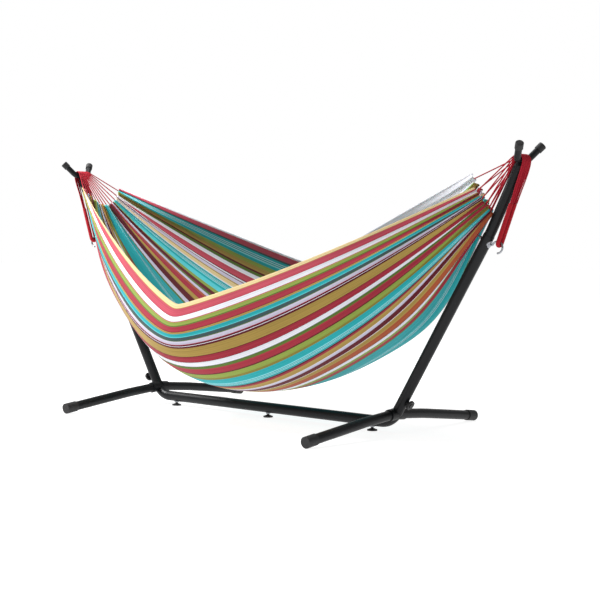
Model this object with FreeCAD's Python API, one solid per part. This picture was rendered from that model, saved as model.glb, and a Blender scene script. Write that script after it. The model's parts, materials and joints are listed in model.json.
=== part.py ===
import FreeCAD, Part
import math, os

# Hammock on a steel tube stand. Millimetres, +Z up, +X along the beam, origin on the floor under the
# middle of the beam. The right half (x > 0) of the stand is modelled and mirrored for the left half.

V = FreeCAD.Vector
Y_AXIS = V(0, 1, 0)
Z_AXIS = V(0, 0, 1)

# stand tubes
TUBE_R = 24.0              # beam, elbow and lower upright, outer radius
TUBE_WALL = 1.5
FIT = 0.1                  # radial gap of a tube pushed into another
SPIGOT_R = TUBE_R - TUBE_WALL - FIT
SPIGOT_WALL = 1.5
BEAM_SPIGOT = 38.0         # length of the elbow pushed into the beam
POST_SPIGOT = 55.0         # length of the elbow pushed into the lower upright, past the lock knob
BEAM_Z = 45.0
BEAM_END = 667.0
ELBOW_R = 100.0            # bend radius of the elbow's centre line
LEAN = 30.7                # lower upright from the vertical, degrees
FOOT_POINT = V(745, 0, 80)  # point on the lower upright's axis, distances up it are from here
LOWER_FROM = 31.0
LOWER_TO = 900.0
UPPER_FROM = 790.0         # hidden end of the upper upright inside the lower one
UPPER_BEND = 922.0
UPPER_BEND_R = 500.0
UPPER_R = SPIGOT_R

# fork on top of each upright
SADDLE = V(1354, 0, 1154)  # middle of the fork's base bar
FORK_BAR_R = 14.0
FORK_HALF = 39.0
FORK_TIP = V(1393, 85, 1213)
FORK_CORNER_R = 28.0
CAP_R = 17.0
CAP_LONG = 30.0
SEAT_LOW = 24.0            # how far below the saddle the upper upright ends
SEAT_HIGH = 7.0
SEAT_TOP_R = 14.0
RIM_LOW = 21.0             # where the tail bears on the upper upright's top edge

# legs
LEG_X = 746.0
LEG_R = 21.5
LEG_START = V(LEG_X, 26, 84.4)
LEG_KNEE = V(LEG_X, 200, 70)
LEG_END = V(LEG_X, 594.2, 24.34)
LEG_BEND_R = 1500.0
LEG_CAP_R = 24.5
LEG_CAP_LONG = 60.0
SOCKET_R = 26.0
SOCKET_FROM = 8.0
SOCKET_TO = 52.0

# levelling feet
FOOT_XS = (-617.0, 0.0, 617.0)
FOOT_PAD_R = 22.5
FOOT_STEM_R = 6.0

# lock knob and hook bolt, heights up the upright's axis
KNOB_UP = 80.0
KNOB_R = 21.5
KNOB_STEM_R = 4.0
HOOK_UP = 872.0
WIRE_R = 4.0
HOOK_R = 24.0
HOOK_NECK_R = 7.0
HOOK_OUT = 59.0

# hammock cords
CORD_R = 2.5
CORDS = 12
CORD_STEP = 5.3            # pitch of the cords side by side on the saddle
TAIL_THICK = 5.6
LOOP_R = 9.0
LOOP_BEND_R = 14.0
LOOP_LEG = 165.0

# hammock bed: threads run from end to end, v = 0 on the near hem and v = 1 on the far hem
CLOTH = 2.5
SAG_SECTION = ((-538, 543), (-441, 211), (-2, 148), (408, 340), (403, 717))
LOW_LINE = (-45, -11, 85, 79, -100)                # where along x each thread hangs lowest
SHARPNESS = (1.0, 1.03, 1.2, 2.45, 0.035)         # small is a sharp V in the thread, large a round sag
CREASE = (0.70, 0.115)                           # share of a sharp V at the near hem, and how far in it goes
HOLLOW = V(0, 41, 40)                            # the near belly is drawn in towards the left end
HOLLOW_V = (0.297, 0.153)                        # its middle and half width across the cloth
HOLLOW_T = (-0.427, 0.249)                       # the same along the threads
END_RIGHT = (V(1208, -120, 1045), V(1200, 18, 953), V(1054, 88, 1112))
END_LEFT = (V(-1206, -120, 1086), V(-1160, 0, 994), V(-1200, 130, 1090))
BULGE = V(28, 15, -45)                           # the belly is fuller towards the right end
BULGE_V = (0.53, 0.21)
BULGE_T = (0.714, 0.239)
THREADS = 17
STATIONS = 41

lean = math.radians(LEAN)
UP = V(math.sin(lean), 0, math.cos(lean))
OUT = V(math.cos(lean), 0, -math.sin(lean))


def on_upright(up, out=0.0):
    return FOOT_POINT + UP * up + OUT * out


def path(points, radii):
    """Straight runs joined by tangent arcs, one radius for each inner point."""
    edges = []
    start = points[0]
    for i in range(1, len(points) - 1):
        back = (points[i - 1] - points[i]).normalize()
        ahead = (points[i + 1] - points[i]).normalize()
        half_turn = (math.pi - back.getAngle(ahead)) / 2
        reach = radii[i - 1] * math.tan(half_turn)
        first = points[i] + back * reach
        last = points[i] + ahead * reach
        inward = (back + ahead).normalize()
        middle = points[i] + inward * (radii[i - 1] / math.cos(half_turn) - radii[i - 1])
        edges.append(Part.LineSegment(start, first).toShape())
        edges.append(Part.Arc(first, middle, last).toShape())
        start = last
    edges.append(Part.LineSegment(start, points[-1]).toShape())
    return Part.Wire(edges)


def sweep(wire, radius):
    start = wire.OrderedVertexes[0].Point
    first = wire.OrderedEdges[0]
    heading = first.tangentAt(first.FirstParameter)
    if (first.valueAt(first.FirstParameter) - start).Length > 1e-6:
        heading = first.tangentAt(first.LastParameter) * -1
    ring = Part.Wire([Part.Circle(start, heading, radius).toShape()])
    return wire.makePipeShell([ring], True, False)


def rod(start, end, radius):
    return Part.makeCylinder(radius, (end - start).Length, start, end - start)


def tube(start, end, outer, inner):
    return rod(start, end, outer).cut(rod(start, end, inner))


def mirror_x(shape):
    return shape.mirror(V(0, 0, 0), V(1, 0, 0))


def mirror_y(shape):
    return shape.mirror(V(0, 0, 0), Y_AXIS)


def save(name, *shapes):
    shape = shapes[0] if len(shapes) == 1 else Part.makeCompound(list(shapes))
    solids = shape.Solids
    print(name, len(solids), "solids", round(sum(s.Volume for s in solids)), "mm3", shape.isValid())
    shape.exportStep("parts/" + name + ".step")


def save_pair(name, shape):
    save(name + "_right", shape)
    save(name + "_left", mirror_x(shape))


# ---- stand ----

def beam():
    low = V(-BEAM_END, 0, BEAM_Z)
    bar = tube(low, V(BEAM_END, 0, BEAM_Z), TUBE_R, TUBE_R - TUBE_WALL)
    for x in FOOT_XS:
        bar = bar.cut(rod(V(x, 0, 0), V(x, 0, BEAM_Z), 8.05))
    return bar


def elbow():
    corner_up = (BEAM_Z - FOOT_POINT.z) / UP.z
    corner = FOOT_POINT + UP * corner_up
    ends = [V(BEAM_END, 0, BEAM_Z), corner, on_upright(LOWER_FROM)]
    line = path(ends, [ELBOW_R])
    body = sweep(line, TUBE_R)
    spigots = [rod(V(BEAM_END - BEAM_SPIGOT, 0, BEAM_Z), ends[0] + V(5, 0, 0), SPIGOT_R),
               rod(on_upright(LOWER_FROM - 5), on_upright(LOWER_FROM + POST_SPIGOT), SPIGOT_R)]
    leg_down = (LEG_KNEE - LEG_START).normalize()
    bore = SPIGOT_R - SPIGOT_WALL
    for side in (1, -1):
        start = LEG_START + leg_down * (SOCKET_FROM - LEG_START.y)
        end = LEG_START + leg_down * (SOCKET_TO - LEG_START.y)
        stub = rod(start, end, SOCKET_R)
        body = body.fuse(stub if side == 1 else mirror_y(stub))
    for spigot in spigots:
        body = body.fuse(spigot)
    hollow = path([V(BEAM_END - BEAM_SPIGOT - 1, 0, BEAM_Z), corner, on_upright(LOWER_FROM + POST_SPIGOT + 1)],
                  [ELBOW_R])
    body = body.cut(sweep(hollow, bore))
    seat = rod(LEG_START, LEG_START + leg_down * 60, LEG_R + FIT)
    return body.cut(seat).cut(mirror_y(seat)).removeSplitter()


def lower_upright():
    post = tube(on_upright(LOWER_FROM), on_upright(LOWER_TO), TUBE_R, TUBE_R - TUBE_WALL)
    post = post.cut(rod(on_upright(HOOK_UP, -40), on_upright(HOOK_UP, 40), WIRE_R + 0.3))
    return post.cut(rod(on_upright(KNOB_UP), on_upright(KNOB_UP, 40), KNOB_STEM_R + 0.6))


def upper_line():
    bend = on_upright(UPPER_BEND)
    to_saddle = (SADDLE - bend).normalize()
    return path([on_upright(UPPER_FROM), bend, SADDLE - to_saddle * SEAT_LOW], [UPPER_BEND_R]), to_saddle


def upper_upright():
    line, to_saddle = upper_line()
    post = sweep(line, UPPER_R).cut(sweep(line, UPPER_R - TUBE_WALL))
    return post.cut(rod(on_upright(HOOK_UP, -40), on_upright(HOOK_UP, 40), WIRE_R + 0.3))


def fork_seat():
    to_saddle = upper_line()[1]
    low = SADDLE - to_saddle * SEAT_LOW
    plug = rod(low - to_saddle * 18, low, UPPER_R - TUBE_WALL - FIT)
    pad = Part.makeCone(UPPER_R, SEAT_TOP_R, SEAT_LOW - SEAT_HIGH, low, to_saddle)
    bar = rod(SADDLE - Y_AXIS * 60, SADDLE + Y_AXIS * 60, FORK_BAR_R)
    return plug.fuse(pad).cut(bar).removeSplitter()


def fork_points():
    base = SADDLE + Y_AXIS * FORK_HALF
    tip = FORK_TIP
    flip = V(1, -1, 1)
    return [V(p.x * flip.x, p.y * flip.y, p.z * flip.z) for p in (tip, base)] + [base, tip]


def fork():
    return sweep(path(fork_points(), [FORK_CORNER_R, FORK_CORNER_R]), FORK_BAR_R)


def prong_cap():
    base, tip = fork_points()[2:]
    along = (tip - base).normalize()
    cap = rod(tip - along * (CAP_LONG - 4), tip + along * 4, CAP_R)
    rim = [e for e in cap.Edges if abs((e.CenterOfMass - tip - along * 4).Length) < 1]
    cap = cap.makeFillet(3.5, rim)
    return cap.cut(rod(tip - along * CAP_LONG, tip, FORK_BAR_R + 0.02))


def leg():
    line = path([LEG_START, LEG_KNEE, LEG_END - leg_heading() * 4], [LEG_BEND_R])
    return sweep(line, LEG_R).cut(sweep(line, LEG_R - TUBE_WALL))


def leg_heading():
    return (LEG_END - LEG_KNEE).normalize()


def leg_cap():
    along = leg_heading()
    cap = rod(LEG_END - along * LEG_CAP_LONG, LEG_END, LEG_CAP_R)
    return cap.cut(rod(LEG_END - along * (LEG_CAP_LONG + 1), LEG_END - along * 4, LEG_R + 0.02))


def levelling_foot(x):
    pad = Part.makeCylinder(FOOT_PAD_R, 6, V(x, 0, 0))
    cone = Part.makeCone(FOOT_PAD_R - 3, 9, 5, V(x, 0, 6))
    stem = Part.makeCylinder(FOOT_STEM_R, 27, V(x, 0, 11))
    return pad.fuse(cone).fuse(stem).removeSplitter()


def foot_insert(x):
    flange = Part.makeCylinder(11, 4, V(x, 0, 17))
    sleeve = Part.makeCylinder(8, 14, V(x, 0, 20))
    beam_skin = rod(V(x - 30, 0, BEAM_Z), V(x + 30, 0, BEAM_Z), TUBE_R)
    flange = flange.cut(beam_skin)
    bore = Part.makeCylinder(FOOT_STEM_R + 0.05, 40, V(x, 0, 0))
    return flange.fuse(sleeve).cut(bore).removeSplitter()


def knob_boss():
    boss = rod(on_upright(KNOB_UP, 20), on_upright(KNOB_UP, 34), 9.5)
    post = rod(on_upright(0), on_upright(200), TUBE_R)
    return boss.cut(post).cut(rod(on_upright(KNOB_UP, 15), on_upright(KNOB_UP, 35), KNOB_STEM_R + 0.05))


def lock_knob():
    low = on_upright(KNOB_UP, 34.4)
    disc = rod(low, on_upright(KNOB_UP, 46), KNOB_R)
    disc = disc.makeFillet(2.5, [e for e in disc.Edges if abs(e.Length - 2 * math.pi * KNOB_R) < 1e-3])
    for i in range(8):
        turn = FreeCAD.Rotation(OUT, 45.0 * i)
        centre = low + turn.multVec(UP) * (KNOB_R + 4)
        disc = disc.cut(rod(centre - OUT * 2, centre + OUT * 20, 5.5))
    hub = rod(on_upright(KNOB_UP, 44), on_upright(KNOB_UP, 49), 11)
    return disc.fuse(hub).fuse(rod(on_upright(KNOB_UP, SPIGOT_R + 0.4), low, KNOB_STEM_R)).removeSplitter()


def hook_bolt():
    neck_out = HOOK_OUT - HOOK_R - HOOK_NECK_R
    centre = on_upright(HOOK_UP + HOOK_NECK_R, HOOK_OUT)
    neck = on_upright(HOOK_UP + HOOK_NECK_R, neck_out)
    slant = math.radians(45)

    def at(middle, radius, angle):
        return middle + OUT * (radius * math.cos(angle)) + UP * (radius * math.sin(angle))

    shank = Part.LineSegment(on_upright(HOOK_UP, -45), on_upright(HOOK_UP, neck_out)).toShape()
    bend = Part.Arc(on_upright(HOOK_UP, neck_out), at(neck, HOOK_NECK_R, -slant), at(neck, HOOK_NECK_R, 0)).toShape()
    tip = math.radians(-60)
    hook = Part.Arc(at(centre, HOOK_R, math.pi), at(centre, HOOK_R, math.pi / 3), at(centre, HOOK_R, tip)).toShape()
    return sweep(Part.Wire([shank, bend, hook]), WIRE_R)


def hook_washer():
    ring = tube(on_upright(HOOK_UP - 30), on_upright(HOOK_UP + 30), TUBE_R + 2.6, TUBE_R + 0.02)
    disc = rod(on_upright(HOOK_UP), on_upright(HOOK_UP, 40), 17).cut(rod(on_upright(HOOK_UP), on_upright(HOOK_UP, 40),
                                                                        WIRE_R + 0.3))
    return ring.common(disc)


def hook_nut():
    corners = []
    for i in range(7):
        turn = FreeCAD.Rotation(OUT, 60.0 * i)
        corners.append(on_upright(HOOK_UP, -24.1) + turn.multVec(UP) * 7.5)
    nut = Part.Face(Part.makePolygon(corners)).extrude(OUT * -7)
    return nut.cut(rod(on_upright(HOOK_UP, -40), on_upright(HOOK_UP), WIRE_R + 0.02))


# ---- hammock ----

def through(points, v):
    """Smooth curve through evenly spaced points (Lagrange), v from 0 to 1."""
    last = len(points) - 1
    total = points[0] * 0
    for i in range(last + 1):
        weight = 1.0
        for k in range(last + 1):
            if k != i:
                weight *= (v * last - k) / (i - k)
        total = total + points[i] * weight
    return total


def sag(t, sharp):
    """1 at the middle and 0 at the ends."""
    crest = math.sqrt(1 + sharp * sharp)
    return (crest - math.sqrt(t * t + sharp * sharp)) / (crest - sharp)


def bed_point(v, t):
    """Thread v of the bed at t, from -1 on the left end to 1 on the right end."""
    middle = through([V(x, y, z) for x, (y, z) in zip(LOW_LINE, SAG_SECTION)], v)
    end = through(END_RIGHT if t > 0 else END_LEFT, v)
    crease = CREASE[0] * math.exp(-(v / CREASE[1]) ** 2)
    h = (1 - crease) * sag(t, math.exp(through([math.log(s) for s in SHARPNESS], v))) + crease * sag(t, 0.02 + 0.5 * v)
    hanging = V(end.x * abs(t) + middle.x * h, end.y * (1 - h) + middle.y * h, end.z * (1 - h) + middle.z * h)
    hollow = math.exp(-((v - HOLLOW_V[0]) / HOLLOW_V[1]) ** 2 - ((t - HOLLOW_T[0]) / HOLLOW_T[1]) ** 2)
    bulge = math.exp(-((v - BULGE_V[0]) / BULGE_V[1]) ** 2 - ((t - BULGE_T[0]) / BULGE_T[1]) ** 2) * (1 - t ** 6)
    return hanging + HOLLOW * hollow + BULGE * bulge


def bed_normal(v, t):
    step = 0.01
    along = bed_point(v, min(1, t + step)) - bed_point(v, max(-1, t - step))
    across = bed_point(min(1, v + step), t) - bed_point(max(0, v - step), t)
    return along.cross(across).normalize()


def bed():
    skins = []
    rows = [i / (THREADS - 1) for i in range(THREADS)]
    columns = [2 * j / (STATIONS - 1) - 1 for j in range(STATIONS)]
    for side in (-0.5, 0.5):
        grid = [[bed_point(v, t) + bed_normal(v, t) * (side * CLOTH) for t in columns] for v in rows]
        skin = Part.BSplineSurface()
        skin.interpolate(grid)
        skins.append(skin.toShape())
    faces = list(skins)
    for low, high in zip(skins[0].OuterWire.OrderedEdges, skins[1].OuterWire.OrderedEdges):
        faces.append(Part.makeRuledSurface(low, high))
    shell = Part.makeShell(faces)
    shell.sewShape()
    return Part.makeSolid(shell)


def slanted(angle):
    return V(math.sin(angle), 0, math.cos(angle)), V(math.cos(angle), 0, -math.sin(angle))


def tail_line():
    """The tail's line: loop centre at the hook, then the upright's top edge."""
    to_saddle = upper_line()[1]
    outward = V(to_saddle.z, 0, -to_saddle.x)
    centre = on_upright(HOOK_UP + HOOK_NECK_R + HOOK_R, HOOK_OUT)
    rim = SADDLE - to_saddle * RIM_LOW + outward * (UPPER_R + 0.6 + TAIL_THICK / 2)
    along = rim - centre
    heading, across = slanted(math.atan2(along.x, along.z))
    return heading, across, centre, rim


def whipped_loop():
    heading, _, centre, _ = tail_line()
    low = centre - heading * LOOP_BEND_R
    side = Y_AXIS * LOOP_BEND_R
    legs = [Part.LineSegment(centre + side + heading * LOOP_LEG, centre + side).toShape(),
            Part.Arc(centre + side, low, centre - side).toShape(),
            Part.LineSegment(centre - side, centre - side + heading * LOOP_LEG).toShape()]
    return sweep(Part.Wire(legs), LOOP_R)


def rectangle(centre, across, half_wide, half_thick):
    corners = [centre + Y_AXIS * (a * half_wide) + across * (b * half_thick)
               for a, b in ((-1, -1), (1, -1), (1, 1), (-1, 1), (-1, -1))]
    return Part.makePolygon(corners)


def tail():
    heading, across, centre, rim = tail_line()
    half = TAIL_THICK / 2
    wide = CORDS * CORD_STEP / 2
    inner = FORK_BAR_R + 0.4
    over = SADDLE - rim
    angle = math.atan2(over.x, over.z) + math.asin((inner + half) / over.Length)
    up, out = slanted(angle)
    low = centre + heading * (LOOP_LEG + 0.2)
    flat = Part.makeLoft([rectangle(low, across, LOOP_BEND_R + LOOP_R, LOOP_R),
                          rectangle(low + heading * 40, across, 25, half + 2),
                          rectangle(rim, across, wide - 2, half),
                          rectangle(SADDLE + out * (inner + half), out, wide, half)], True, True)
    drum = rod(SADDLE - Y_AXIS * wide, SADDLE + Y_AXIS * wide, inner + TAIL_THICK)
    drum = drum.cut(rod(SADDLE - Y_AXIS * 60, SADDLE + Y_AXIS * 60, inner))
    keep = Part.makeBox(60, 200, 60, SADDLE + V(-6, -100, 0))
    below = Part.makeBox(80, 200, 60, V(0, -100, -60))
    below.Placement = FreeCAD.Placement(SADDLE, FreeCAD.Rotation(Y_AXIS, math.degrees(angle)))
    corner_fit = Part.makeBox(40, 2 * wide + 2, 40, SADDLE + V(0, -wide - 1, -20))
    drum = drum.common(keep.fuse(corner_fit)).cut(below)
    fork_room = sweep(path(fork_points(), [FORK_CORNER_R, FORK_CORNER_R]), FORK_BAR_R + 0.2)
    return flat.fuse(drum).cut(fork_room).removeSplitter()


def fan_cord(side, i):
    v = (i + 0.5) / CORDS
    edge = bed_point(v, side)
    before_bar = V(side * (SADDLE.x - 18), (i + 0.5 - CORDS / 2) * CORD_STEP, SADDLE.z + 19)
    heading = (before_bar - edge).normalize()
    return rod(edge + heading * 4, before_bar - heading * 4, CORD_R)


os.makedirs("parts", exist_ok=True)
save("beam_tube", beam())
save_pair("elbow", elbow())
save_pair("lower_upright", lower_upright())
save_pair("upper_upright", upper_upright())
save_pair("fork", fork())
save("fork_seats", fork_seat(), mirror_x(fork_seat()))
cap = prong_cap()
save("prong_caps", cap, mirror_y(cap), mirror_x(cap), mirror_x(mirror_y(cap)))
for name, shape in (("leg", leg()), ("leg_cap", leg_cap())):
    save(name + "_right_back", shape)
    save(name + "_right_front", mirror_y(shape))
    save(name + "_left_back", mirror_x(shape))
    save(name + "_left_front", mirror_x(mirror_y(shape)))
for place, x in zip(("left", "middle", "right"), FOOT_XS):
    save("levelling_foot_" + place, levelling_foot(x))
save("foot_inserts", *[foot_insert(x) for x in FOOT_XS])
save("knob_bosses", knob_boss(), mirror_x(knob_boss()))
save_pair("lock_knob", lock_knob())
save_pair("hook_bolt", hook_bolt())
save("hook_washers", hook_washer(), mirror_x(hook_washer()))
save("hook_nuts", hook_nut(), mirror_x(hook_nut()))
save("hammock_bed", bed())
save_pair("whipped_loop", whipped_loop())
save_pair("tail_cords", tail())
for i in range(CORDS):
    save("fan_cord_right_%02d" % (i + 1), fan_cord(1, i))
    save("fan_cord_left_%02d" % (i + 1), fan_cord(-1, i))
print("bend radii", LOOP_BEND_R, "round the hook", FORK_BAR_R + CORD_R, "over the fork")
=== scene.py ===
import json
import math
import bmesh
import bpy
import numpy as np
from mathutils import Matrix, Vector


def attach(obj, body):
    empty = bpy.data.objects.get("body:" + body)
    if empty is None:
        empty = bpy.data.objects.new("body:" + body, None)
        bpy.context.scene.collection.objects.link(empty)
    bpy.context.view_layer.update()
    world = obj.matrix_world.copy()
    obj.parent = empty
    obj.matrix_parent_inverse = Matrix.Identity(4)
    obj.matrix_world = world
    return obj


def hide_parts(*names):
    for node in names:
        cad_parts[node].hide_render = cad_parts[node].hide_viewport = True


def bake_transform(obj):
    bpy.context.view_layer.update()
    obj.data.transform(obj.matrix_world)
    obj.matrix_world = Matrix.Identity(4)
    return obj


# Hammock on a tubular stand. Metres, +X along the beam, +Z up, origin on the floor under the beam.

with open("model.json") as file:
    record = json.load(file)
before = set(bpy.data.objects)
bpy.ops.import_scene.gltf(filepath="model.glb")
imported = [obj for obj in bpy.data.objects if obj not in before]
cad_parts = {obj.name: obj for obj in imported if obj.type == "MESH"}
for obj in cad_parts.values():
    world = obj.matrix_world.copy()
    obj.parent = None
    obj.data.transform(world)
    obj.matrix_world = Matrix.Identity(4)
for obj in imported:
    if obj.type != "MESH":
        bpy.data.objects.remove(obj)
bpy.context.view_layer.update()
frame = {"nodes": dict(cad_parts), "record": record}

# ---- sizes shared with the CAD ----
SADDLE = np.array([1.354, 0.0, 1.154])
FORK_BAR_R = 0.014
CORD_R = 0.0026
CORDS = 12
CORD_STEP = 0.0053
LEAN = math.radians(30.7)
UP = np.array([math.sin(LEAN), 0, math.cos(LEAN)])
OUT = np.array([math.cos(LEAN), 0, -math.sin(LEAN)])
FOOT_POINT = np.array([0.745, 0, 0.080])
LOOP_CENTRE = FOOT_POINT + UP * (0.872 + 0.007 + 0.024) + OUT * 0.059
LOOP_R = 0.009
LOOP_BEND_R = 0.014
LOOP_LEG = 0.165
END_TAPER = 0.45                          # how far a tube's first and last rings draw in

SAG_SECTION = ((-0.045, -0.538, 0.543), (-0.011, -0.441, 0.211), (0.085, -0.002, 0.148),
               (0.079, 0.408, 0.340), (-0.100, 0.403, 0.717))
SHARPNESS = (1.0, 1.03, 1.2, 2.45, 0.035)
CREASE = (0.70, 0.115)                    # a sharp V at the near hem: its share, and how far in it goes
END_RIGHT = ((1.208, -0.120, 1.045), (1.200, 0.018, 0.953), (1.054, 0.088, 1.112))
END_LEFT = ((-1.206, -0.120, 1.086), (-1.160, 0, 0.994), (-1.200, 0.130, 1.090))
HOLLOW = np.array([0, 0.041, 0.040])      # the near belly is drawn in towards the left end
HOLLOW_V = (0.297, 0.153)
HOLLOW_T = (-0.427, 0.249)
BULGE = np.array([0.028, 0.015, -0.045])  # the belly is fuller towards the right end
BULGE_V = (0.53, 0.21)
BULGE_T = (0.714, 0.239)
CLOTH = 0.0022                            # thickness
CLOTH_ROWS, CLOTH_COLUMNS = 321, 221
RIM_BAND = 0.03                           # share of the width in which the folds fade out at a hem

# the tail runs up from the hook, bears on the upper upright's top edge and then goes over the fork's bar
BEND = FOOT_POINT + UP * 0.922
TO_SADDLE = (SADDLE - BEND) / np.linalg.norm(SADDLE - BEND)
RIM = SADDLE - TO_SADDLE * 0.021 + np.array([TO_SADDLE[2], 0, -TO_SADDLE[0]]) * 0.0258
TAIL_UP = (RIM - LOOP_CENTRE) / np.linalg.norm(RIM - LOOP_CENTRE)
TAIL_OUT = np.array([TAIL_UP[2], 0, -TAIL_UP[0]])

# ---- camera ----
CAMERA_PLACE = (4.203, -4.585, 0.831)
CAMERA_YAW, CAMERA_PITCH, CAMERA_ROLL = math.radians(41.19), math.radians(2.60), math.radians(0.57)
CAMERA_LENS = 80.34
SENSOR = 36

# ---- stripes of the cloth from the near hem to the far hem: width in mm, colour ----
COLOURS = {
    "cream": (0.74, 0.58, 0.30), "rose": (0.50, 0.070, 0.105), "crimson": (0.36, 0.028, 0.048),
    "maroon": (0.110, 0.010, 0.018), "white": (0.78, 0.79, 0.85), "lavender": (0.56, 0.53, 0.66),
    "lime": (0.26, 0.34, 0.060), "green": (0.10, 0.17, 0.030), "ochre": (0.40, 0.27, 0.065),
    "olive": (0.22, 0.19, 0.030), "teal": (0.014, 0.37, 0.40), "cyan": (0.10, 0.60, 0.66),
    "pale": (0.46, 0.68, 0.72), "slate": (0.045, 0.085, 0.090), "orange": (0.40, 0.090, 0.035),
}
TEAL_BAND = ((12, "teal"), (3, "cyan"), (3, "pale"), (5, "teal"), (3, "pale"), (5, "teal"), (3, "pale"),
             (10, "teal"))
STRIPES = (
    (14, "cream"), (2, "ochre"), (24, "rose"), (3, "crimson"), (18, "white"), (3, "rose"), (13, "lime"),
    (3, "green"), (20, "crimson"), (2, "maroon"), (6, "ochre"), (12, "teal"), (3, "cyan"),
    (12, "slate"), (3, "green"), (14, "lavender"), (2, "rose"), (5, "maroon"), (2, "white"),
    (8, "maroon"), (38, "ochre"), (3, "maroon"), (26, "crimson"), (2, "maroon"), (20, "white"),
    (3, "lavender"), (15, "green"), (30, "crimson"), (6, "maroon"), (26, "lime"), (13, "olive"),
    (22, "teal"), *TEAL_BAND, (10, "maroon"), (12, "crimson"), (28, "ochre"), (3, "white"),
    (14, "lavender"), (24, "maroon"), (3, "white"), (22, "ochre"), (28, "orange"), (2, "maroon"),
    (22, "white"), (18, "lime"), (4, "green"), (22, "crimson"), (8, "green"), (56, "teal"), *TEAL_BAND,
    (50, "teal"), (14, "green"), (24, "lavender"), (36, "maroon"), (26, "ochre"), (34, "crimson"),
    (18, "orange"), (20, "lavender"), (16, "green"), (28, "maroon"), (24, "lime"), (30, "cyan"),
    *TEAL_BAND, (8, "white"), (24, "cream"), (8, "ochre"), (22, "lavender"), (6, "maroon"),
    (8, "white"), (6, "maroon"), (34, "rose"), (20, "white"), (14, "green"), (8, "maroon"),
    (20, "ochre"), (16, "lime"), *TEAL_BAND, (8, "slate"), (26, "rose"), (10, "white"),
)


# ---- small helpers ----

def through(points, v):
    """Smooth curve through evenly spaced points, v an array from 0 to 1."""
    points = np.array(points, float)
    last = len(points) - 1
    total = 0
    for i in range(last + 1):
        weight = np.ones_like(v)
        for k in range(last + 1):
            if k != i:
                weight = weight * (v * last - k) / (i - k)
        total = total + weight[..., None] * points[i]
    return total


def sag(t, sharp):
    """1 at the middle and 0 at the ends: a V where sharp is small, a round curve where it is large."""
    crest = np.sqrt(1 + sharp ** 2)
    return (crest - np.sqrt(t * t + sharp ** 2)) / (crest - sharp)


def bed_points(v, t):
    """Points of the hanging cloth: v across the width, t from the left end (-1) to the right end (1)."""
    middle = through(SAG_SECTION, v)
    end = np.where(t[..., None] > 0, through(END_RIGHT, v), through(END_LEFT, v))
    crease = (CREASE[0] * np.exp(-(v / CREASE[1]) ** 2))[..., None]
    h = (1 - crease) * sag(t, np.exp(through([[math.log(s)] for s in SHARPNESS], v))[..., 0])[..., None]
    h = h + crease * sag(t, 0.02 + 0.5 * v)[..., None]
    flat = end * (1 - h) + middle * h
    flat[..., 0] = end[..., 0] * np.abs(t) + middle[..., 0] * h[..., 0]

    def patch(middle_v, middle_t):
        return np.exp(-((v - middle_v[0]) / middle_v[1]) ** 2 - ((t - middle_t[0]) / middle_t[1]) ** 2)

    drawn_in = patch(HOLLOW_V, HOLLOW_T)
    fuller = patch(BULGE_V, BULGE_T) * (1 - t ** 6)
    return flat + drawn_in[..., None] * HOLLOW + fuller[..., None] * BULGE


def bed_normals(v, t):
    step = 0.004
    along = bed_points(v, np.minimum(1, t + step)) - bed_points(v, np.maximum(-1, t - step))
    across = bed_points(np.minimum(1, v + step), t) - bed_points(np.maximum(0, v - step), t)
    normal = np.cross(across, along)
    return normal / np.linalg.norm(normal, axis=-1, keepdims=True)


def link(name, mesh, material, smooth=True):
    obj = bpy.data.objects.new(name, mesh)
    bpy.context.scene.collection.objects.link(obj)
    mesh.materials.append(material)
    if smooth:
        mesh.shade_smooth()
    return obj


def grid_mesh(name, points, uv, close_v=False):
    """A mesh of quads from a rows x columns grid of points with a UV for each point."""
    rows, columns = points.shape[:2]
    index = np.arange(rows * columns).reshape(rows, columns)
    if close_v:
        index = np.concatenate([index, index[:, :1]], axis=1)
        uv = np.concatenate([uv, uv[:, :1] + np.array([0, 1.0])], axis=1)
    quads = np.stack([index[:-1, :-1], index[1:, :-1], index[1:, 1:], index[:-1, 1:]], -1).reshape(-1, 4)
    corner_uv = np.stack([uv[:-1, :-1], uv[1:, :-1], uv[1:, 1:], uv[:-1, 1:]], 2).reshape(-1, 2)
    mesh = bpy.data.meshes.new(name)
    mesh.from_pydata(points.reshape(-1, 3).tolist(), [], quads.tolist())
    layer = mesh.uv_layers.new(name="weave")
    layer.data.foreach_set("uv", corner_uv.astype(np.float32).ravel())
    mesh.update()
    return mesh


def spline_path(route, steps):
    """Points read from the NURBS spline that has the route's points as its control points."""
    curve = bpy.data.curves.new("route", "CURVE")
    curve.dimensions = "3D"
    spline = curve.splines.new("NURBS")
    spline.points.add(len(route) - 1)
    for point, place in zip(spline.points, route):
        point.co = (*place, 1)
    spline.order_u = 3
    spline.use_endpoint_u = True
    spline.resolution_u = steps
    holder = bpy.data.objects.new("route", curve)
    bpy.context.scene.collection.objects.link(holder)
    mesh = bpy.data.meshes.new_from_object(holder)
    path = np.array([v.co[:] for v in mesh.vertices])
    bpy.data.objects.remove(holder)
    bpy.data.curves.remove(curve)
    bpy.data.meshes.remove(mesh)
    return path


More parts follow.
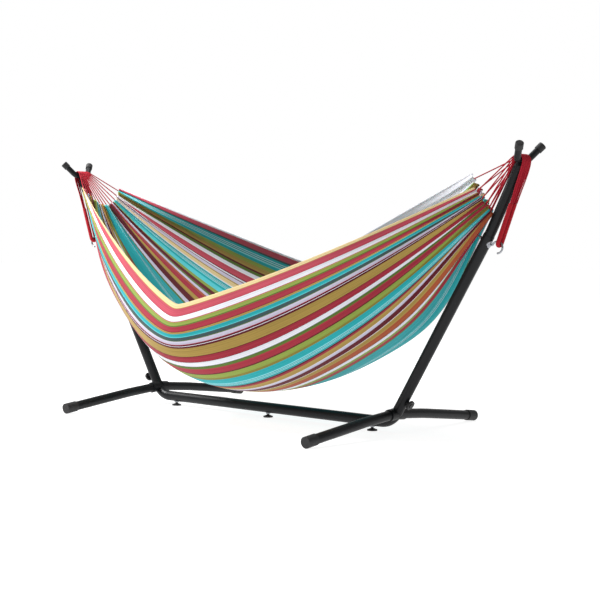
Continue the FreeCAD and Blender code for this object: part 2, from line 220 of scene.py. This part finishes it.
def tube_mesh(name, path, radius, sides=12, lift=None):
    """Closed tube along a path. lift(u, angle) scales the radius, u in metres along the path."""
    heading = np.gradient(path, axis=0)
    heading /= np.linalg.norm(heading, axis=1, keepdims=True)
    length = np.concatenate([[0], np.cumsum(np.linalg.norm(np.diff(path, axis=0), axis=1))])
    side = np.cross(heading[0], [0.013, 1, 0.007])
    angle = np.linspace(0, 2 * math.pi, sides, endpoint=False)
    rings = []
    for i in range(len(path)):
        side = side - heading[i] * side.dot(heading[i])
        side /= np.linalg.norm(side)
        other = np.cross(heading[i], side)
        size = radius * (np.ones(sides) if lift is None else lift(length[i], angle))
        if i in (0, len(path) - 1):
            size = size * END_TAPER
        rings.append(path[i] + np.outer(np.cos(angle) * size, side) + np.outer(np.sin(angle) * size, other))
    uv = np.stack(np.meshgrid(length, np.linspace(0, 1, sides, endpoint=False), indexing="ij"), -1)
    mesh = grid_mesh(name, np.array(rings), uv, close_v=True)
    work = bmesh.new()
    work.from_mesh(mesh)
    bmesh.ops.holes_fill(work, edges=[e for e in work.edges if e.is_boundary])
    bmesh.ops.recalc_face_normals(work, faces=work.faces)
    work.to_mesh(mesh)
    work.free()
    return mesh


# ---- materials ----

class Shader:
    """Short names for building one node material."""

    def __init__(self, name):
        self.material = bpy.data.materials.new(name)
        self.material.use_nodes = True
        self.tree = self.material.node_tree
        self.base = self.tree.nodes["Principled BSDF"]

    def node(self, kind, inputs=None, **settings):
        made = self.tree.nodes.new(kind)
        for key, value in settings.items():
            setattr(made, key, value)
        for key, value in (inputs or {}).items():
            if isinstance(value, bpy.types.NodeSocket):
                self.tree.links.new(value, made.inputs[key])
            else:
                made.inputs[key].default_value = value
        return made

    def math(self, operation, a, b=0.0, c=0.0):
        return self.node("ShaderNodeMath", {0: a, 1: b, 2: c}, operation=operation).outputs[0]

    def set(self, **values):
        for key, value in values.items():
            socket = self.base.inputs[key.replace("_", " ")]
            if isinstance(value, bpy.types.NodeSocket):
                self.tree.links.new(value, socket)
            else:
                socket.default_value = value

    def object_place(self, scale=(1, 1, 1)):
        place = self.node("ShaderNodeTexCoord").outputs["Object"]
        return self.node("ShaderNodeMapping", {"Vector": place, "Scale": scale}).outputs[0]

    def noise(self, scale, detail=3.0, rough=0.5, vector=None):
        inputs = {"Vector": vector or self.object_place(), "Scale": scale, "Detail": detail,
                  "Roughness": rough}
        return self.node("ShaderNodeTexNoise", inputs).outputs["Fac"]

    def spread(self, value, low, high):
        inputs = {"Value": value, "From Min": 0.3, "From Max": 0.7, "To Min": low, "To Max": high}
        return self.node("ShaderNodeMapRange", inputs).outputs["Result"]

    def blend(self, fac, a, b):
        mix = self.node("ShaderNodeMix", data_type="RGBA")
        for socket, value in ((mix.inputs[0], fac), (mix.inputs[6], a), (mix.inputs[7], b)):
            if isinstance(value, bpy.types.NodeSocket):
                self.tree.links.new(value, socket)
            else:
                socket.default_value = value
        return mix.outputs[2]

    def bump(self, height, strength, distance):
        made = self.node("ShaderNodeBump", {"Height": height, "Strength": strength, "Distance": distance})
        self.tree.links.new(made.outputs[0], self.base.inputs["Normal"])


def powder_coat():
    s = Shader("powder_coat")
    fine = s.noise(900.0, 2.0)
    cloud = s.noise(7.0, 3.0)
    s.set(Base_Color=s.blend(s.spread(cloud, 0, 1), (0.0045, 0.005, 0.006, 1), (0.009, 0.0095, 0.011, 1)),
          Roughness=s.spread(cloud, 0.36, 0.46), Metallic=0.0, Specular_IOR_Level=0.24)
    s.bump(fine, 0.18, 0.0004)
    return s.material


def rubber():
    s = Shader("moulded_rubber")
    cloud = s.noise(30.0, 3.0)
    s.set(Base_Color=s.blend(s.spread(cloud, 0, 1), (0.007, 0.007, 0.008, 1), (0.015, 0.015, 0.016, 1)),
          Roughness=s.spread(cloud, 0.55, 0.72))
    s.bump(s.noise(1400.0, 2.0), 0.25, 0.0004)
    return s.material


def plastic():
    s = Shader("moulded_plastic")
    cloud = s.noise(60.0, 2.0)
    s.set(Base_Color=s.blend(s.spread(cloud, 0, 1), (0.008, 0.008, 0.009, 1), (0.014, 0.014, 0.015, 1)),
          Roughness=s.spread(cloud, 0.42, 0.55))
    s.bump(s.noise(1800.0, 1.0), 0.15, 0.0003)
    return s.material


def zinc():
    s = Shader("zinc_plate")
    cloud = s.noise(160.0, 4.0)
    s.set(Base_Color=s.blend(s.spread(cloud, 0, 1), (0.24, 0.25, 0.27, 1), (0.46, 0.47, 0.50, 1)),
          Metallic=1.0, Roughness=s.spread(cloud, 0.22, 0.40))
    s.bump(s.noise(1200.0, 2.0), 0.08, 0.0002)
    return s.material


def striped_cloth():
    """Colour bands across the width, a plain weave, slubs along the threads and soft fading."""
    s = Shader("striped_cotton")
    uv = s.node("ShaderNodeUVMap", uv_map="weave").outputs[0]
    split = s.node("ShaderNodeSeparateXYZ", {0: uv})
    along, across = split.outputs[0], split.outputs[1]
    total = sum(width for width, _ in STRIPES)
    bounds = np.cumsum([0] + [width for width, _ in STRIPES]) / total
    per_ramp = 24
    colour = None
    for first in range(0, len(STRIPES), per_ramp):
        group = STRIPES[first:first + per_ramp]
        low = bounds[first]
        high = bounds[first + len(group)]
        here = s.math("DIVIDE", s.math("SUBTRACT", across, float(low)), float(high - low))
        ramp = s.node("ShaderNodeValToRGB", {0: here})
        ramp.color_ramp.interpolation = "CONSTANT"
        stops = ramp.color_ramp.elements
        for i, (_, name) in enumerate(group):
            place = float((bounds[first + i] - low) / (high - low))
            stop = stops[0] if i == 0 else (stops[1] if i == 1 else stops.new(place))
            stop.position = place
            stop.color = (*COLOURS[name], 1)
        inside = s.math("GREATER_THAN", across, float(low))
        colour = ramp.outputs[0] if colour is None else s.blend(inside, colour, ramp.outputs[0])
    fold = s.node("ShaderNodeMapRange", {"Value": along, "From Min": 0.56, "From Max": 0.95, "To Min": 1.0,
                                         "To Max": 0.94}).outputs["Result"]
    turned = s.math("GREATER_THAN", across, fold)
    colour = s.blend(turned, colour, (*COLOURS["white"], 1))
    stretch = s.node("ShaderNodeCombineXYZ", {0: s.math("MULTIPLY", along, 9.0),
                                               1: s.math("MULTIPLY", across, 900.0)}).outputs[0]
    slub = s.noise(1.0, 3.0, 0.6, stretch)
    lines = s.node("ShaderNodeCombineXYZ", {0: s.math("MULTIPLY", along, 0.4),
                                             1: s.math("MULTIPLY", across, 330.0)}).outputs[0]
    yarns = s.noise(1.0, 2.0, 0.7, lines)
    warp = s.math("SINE", s.math("MULTIPLY", across, 2 * math.pi * 1100))
    weft = s.math("SINE", s.math("MULTIPLY", along, 2 * math.pi * 700))
    weave = s.math("MULTIPLY", warp, weft)
    shade = s.math("MULTIPLY", s.spread(slub, 0.86, 1.08), s.spread(yarns, 0.78, 1.14))
    fade = s.spread(s.noise(3.0, 2.0), 0.95, 1.06)
    tone = s.math("MULTIPLY", s.math("MULTIPLY", shade, fade), s.math("MULTIPLY_ADD", weave, 0.03, 1.0))
    grey = s.node("ShaderNodeCombineXYZ", {0: tone, 1: tone, 2: tone}).outputs[0]
    shaded = s.node("ShaderNodeVectorMath", {0: colour, 1: grey}, operation="MULTIPLY").outputs[0]
    s.set(Base_Color=shaded, Roughness=0.88, Sheen_Weight=0.12, Sheen_Roughness=0.5, Specular_IOR_Level=0.2)
    height = s.math("MULTIPLY_ADD", slub, 0.6, s.math("MULTIPLY", weave, 0.35))
    s.bump(height, 0.35, 0.0006)
    return s.material


def twisted_cord(name, dark, light, pitch, strands, depth):
    s = Shader(name)
    uv = s.node("ShaderNodeUVMap", uv_map="weave").outputs[0]
    split = s.node("ShaderNodeSeparateXYZ", {0: uv})
    turns = s.math("MULTIPLY", split.outputs[0], 1.0 / pitch)
    phase = s.math("MULTIPLY", s.math("MULTIPLY_ADD", split.outputs[1], float(strands), turns), 2 * math.pi)
    # the twist's sine drives the bump and also paints shade into the grooves between strands and highlight
    # onto their crowns
    twist_relief_and_shade = s.math("SINE", phase)
    fuzz = s.noise(1500.0, 2.0)
    # colour = random fibre tone plus painted shade in the twist's grooves and painted highlight on its
    # crowns
    tone = s.math("MULTIPLY_ADD", fuzz, 0.35, s.math("MULTIPLY_ADD", twist_relief_and_shade, 0.16, 0.40))
    s.set(Base_Color=s.blend(tone, (*dark, 1), (*light, 1)), Roughness=0.85, Sheen_Weight=0.06,
          Sheen_Roughness=0.4, Specular_IOR_Level=0.2)
    s.bump(s.math("MULTIPLY_ADD", fuzz, 0.2, twist_relief_and_shade), 0.6, depth)
    return s.material


def floor_paint():
    s = Shader("studio_floor")
    s.set(Base_Color=(0.42, 0.42, 0.42, 1), Roughness=1.0, Specular_IOR_Level=0.0,
          Emission_Color=(1, 1, 1, 1), Emission_Strength=0.86)
    return s.material


BLACK = powder_coat()
RUBBER = rubber()
PLASTIC = plastic()
ZINC = zinc()
COTTON = striped_cloth()
# dark and light ends of each cord's colour: the red dye plus painted groove shade and painted crown
# highlight along the twist or wrap
CORD = twisted_cord("red_cord", (0.20, 0.003, 0.010), (0.50, 0.014, 0.032), 0.009, 3, 0.0003)
WHIPPING = twisted_cord("whipping_cord", (0.17, 0.003, 0.008), (0.55, 0.014, 0.026), 0.0030, 1, 0.0004)

FINISH = {"black_steel": BLACK, "rubber_cap": RUBBER, "knob_plastic": PLASTIC, "zinc": ZINC}
slots = {part["node"]: part["material_slot"] for part in frame["record"]["subparts"]}
for node, obj in frame["nodes"].items():
    if slots[node] in FINISH:
        for place in obj.material_slots:
            place.material = FINISH[slots[node]]


# ---- the cloth ----

def build_cloth():
    v = np.linspace(0, 1, CLOTH_ROWS)
    t = np.linspace(-1, 1, CLOTH_COLUMNS)
    t = np.sign(t) * (1 - (1 - np.abs(t)) ** 1.15)
    vv, tt = np.meshgrid(v, t, indexing="ij")
    points = bed_points(vv, tt)
    normals = bed_normals(vv, tt)
    near_end = 1 - np.abs(tt)
    rim = np.clip(np.minimum(vv, 1 - vv) / RIM_BAND, 0, 1)
    pleat = np.sin(2 * math.pi * (23 * vv + 0.35 * np.sin(9 * vv) + 0.1 * np.sign(tt)))
    soft = np.sin(2 * math.pi * (7.3 * vv + 0.25 * np.sin(5 * vv + tt)) + 1.1 * np.sign(tt))
    fine = np.sin(2 * math.pi * (41 * vv + 0.6 * np.sin(4 * vv)))
    ridge = np.sin(math.pi * (11.6 * vv + 0.5 * np.sin(7 * vv + 2 * np.sign(tt)) + 0.5 * tt))
    ridge = np.abs(ridge) ** 0.6 - 0.6
    ripple = (0.0085 * pleat * np.exp(-near_end / 0.12)
              + 0.0080 * soft * np.exp(-((near_end - 0.22) / 0.30) ** 2)
              + 0.0090 * ridge * np.exp(-((near_end - 0.12) / 0.26) ** 2)
              + 0.0014 * fine * np.exp(-near_end / 0.25))
    points = points + normals * (ripple * (0.25 + 0.75 * rim))[..., None]
    uv = np.stack([(tt + 1) / 2, vv], -1)
    mesh = grid_mesh("cloth", points, uv)
    cloth = link("hammock_cloth", mesh, COTTON)
    thick = cloth.modifiers.new("thickness", "SOLIDIFY")
    thick.thickness = CLOTH
    thick.offset = 0
    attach(cloth, "hammock")
    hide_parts("hammock_bed")


build_cloth()


# ---- cords ----

def bar_side():
    """Direction from the fork's bar to where the tail leaves it."""
    over = SADDLE - RIM
    tilt = math.atan2(over[0], over[2]) + math.asin((FORK_BAR_R + 0.0032) / np.linalg.norm(over))
    return np.array([math.cos(tilt), 0, -math.sin(tilt)])


def cord_route(side, i):
    """From the bed's end edge over the fork's bar and down to the whipped loop, on the right side."""
    v = np.array((i + 0.5) / CORDS)
    edge = bed_points(v, np.array(float(side)))
    edge[0] = abs(edge[0])
    y = (i + 0.5 - CORDS / 2) * CORD_STEP
    reach = FORK_BAR_R + CORD_R + 0.0010
    over_bar = SADDLE + [0, y, 0]
    heading = over_bar + [-0.018, 0, 0.019] - edge
    heading /= np.linalg.norm(heading)
    inner = over_bar + [-0.014, 0, reach + 0.004]
    top = over_bar + [0.008, 0, reach + 0.004]
    outer = over_bar + bar_side() * (reach + 0.0030) + TAIL_UP * 0.006
    foot = LOOP_CENTRE + TAIL_UP * (LOOP_LEG - 0.003)
    leg = 1 if i >= CORDS // 2 else -1
    rank = (i % (CORDS // 2) - 2.5) / 2.5
    across = leg * LOOP_BEND_R + rank * 0.0055
    low = foot + np.array([0, across, 0]) + TAIL_OUT * (0.0045 * math.cos(rank * 1.5 + i))
    gather = low + TAIL_UP * 0.045 + np.array([0, rank * 0.0015, 0])
    rim = RIM + [0, y * 0.96, 0] + TAIL_OUT * (0.0016 + 0.001 * (i % 3))
    middle = (gather + rim) / 2 + TAIL_OUT * 0.0015 * ((i * 7) % 3 - 1)
    points = [edge - heading * 0.004, edge + heading * 0.030, inner - heading * 0.05, inner,
              top, outer, rim, middle, gather, low]
    route = np.array(points)
    route[:, 0] *= side
    return route


def build_cords():
    for side, name in ((1, "right"), (-1, "left")):
        for i in range(CORDS):
            route = cord_route(side, i)
            path = spline_path(route, 12)
            cord = link("cord_%s_%02d" % (name, i + 1), tube_mesh("cord", path, CORD_R, 10), CORD)
            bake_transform(cord)
            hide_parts("fan_cord_%s_%02d" % (name, i + 1))
        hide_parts("tail_cords_" + name)


def build_loops():
    for side, name in ((1, "right"), (-1, "left")):
        turn = np.linspace(0, math.pi, 25)
        leg = np.linspace(LOOP_LEG, 0, 110)[:-1]
        down = LOOP_CENTRE + np.outer(leg, TAIL_UP) + [0, LOOP_BEND_R, 0]
        bend = (LOOP_CENTRE + np.outer(np.cos(turn) * LOOP_BEND_R, [0, 1, 0])
                - np.outer(np.sin(turn) * LOOP_BEND_R, TAIL_UP))
        up = LOOP_CENTRE + np.outer(leg[::-1], TAIL_UP) - [0, LOOP_BEND_R, 0]
        path = np.concatenate([down, bend, up]) * [side, 1, 1]
        length = np.concatenate([[0], np.cumsum(np.linalg.norm(np.diff(path, axis=0), axis=1))])
        fine = np.arange(0, length[-1], 0.0007)
        path = np.stack([np.interp(fine, length, path[:, k]) for k in range(3)], -1)

        def wrap(u, angle):
            return 0.965 + 0.035 * np.abs(np.sin(math.pi * (u / 0.0030) + angle / 2))

        loop = link("whipped_loop_" + name + "_rope", tube_mesh("loop", path, LOOP_R, 20, wrap), WHIPPING)
        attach(loop, "stand")
        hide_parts("whipped_loop_" + name)


build_cords()
build_loops()


# ---- studio ----

def area_light(name, place, target, size, power):
    light = bpy.data.lights.new(name, "AREA")
    light.size = size
    light.energy = power
    obj = bpy.data.objects.new(name, light)
    bpy.context.scene.collection.objects.link(obj)
    obj.location = place
    aim = Vector(target) - Vector(place)
    obj.rotation_euler = aim.to_track_quat("-Z", "Y").to_euler()


def studio():
    floor = bpy.data.meshes.new("floor")
    size = 30.0
    corners = [(-size, -size, 0), (size, -size, 0), (size, size, 0), (-size, size, 0)]
    floor.from_pydata(corners, [], [(0, 1, 2, 3)])
    ground = link("floor", floor, floor_paint(), smooth=False)
    world = bpy.data.worlds.new("studio")
    bpy.context.scene.world = world
    world.use_nodes = True
    tree = world.node_tree
    back = tree.nodes["Background"]
    place = tree.nodes.new("ShaderNodeTexCoord")
    facing = tree.nodes.new("ShaderNodeVectorMath")
    facing.operation = "DOT_PRODUCT"
    facing.inputs[1].default_value = (-math.sin(CAMERA_YAW), math.cos(CAMERA_YAW), 0)
    level = tree.nodes.new("ShaderNodeMapRange")
    for socket, value in zip(level.inputs[1:5], (0.80, 0.93, 0.36, 1.0)):
        socket.default_value = value
    tree.links.new(place.outputs["Generated"], facing.inputs[0])
    tree.links.new(facing.outputs["Value"], level.inputs[0])
    tree.links.new(level.outputs[0], back.inputs[1])
    back.inputs[0].default_value = (1, 1, 1, 1)
    area_light("key", (-3.2, -2.2, 4.4), (-0.3, 0, 0.6), 1.6, 420)
    area_light("top", (-0.8, 0.6, 4.6), (0, 0, 0.7), 2.0, 60)


def camera():
    yaw, pitch, roll = CAMERA_YAW, CAMERA_PITCH, CAMERA_ROLL
    look = Vector((-math.sin(yaw) * math.cos(pitch), math.cos(yaw) * math.cos(pitch), -math.sin(pitch)))
    right = Vector((math.cos(yaw), math.sin(yaw), 0))
    over = right.cross(look)
    right_rolled = right * math.cos(roll) + over * math.sin(roll)
    over_rolled = over * math.cos(roll) - right * math.sin(roll)
    data = bpy.data.cameras.new("camera")
    data.lens = CAMERA_LENS
    data.sensor_width = SENSOR
    obj = bpy.data.objects.new("camera", data)
    bpy.context.scene.collection.objects.link(obj)
    turn = Matrix((right_rolled, over_rolled, -look)).transposed()
    obj.matrix_world = Matrix.Translation(CAMERA_PLACE) @ turn.to_4x4()
    bpy.context.scene.camera = obj


studio()
camera()
bpy.context.scene.view_settings.view_transform = "Standard"
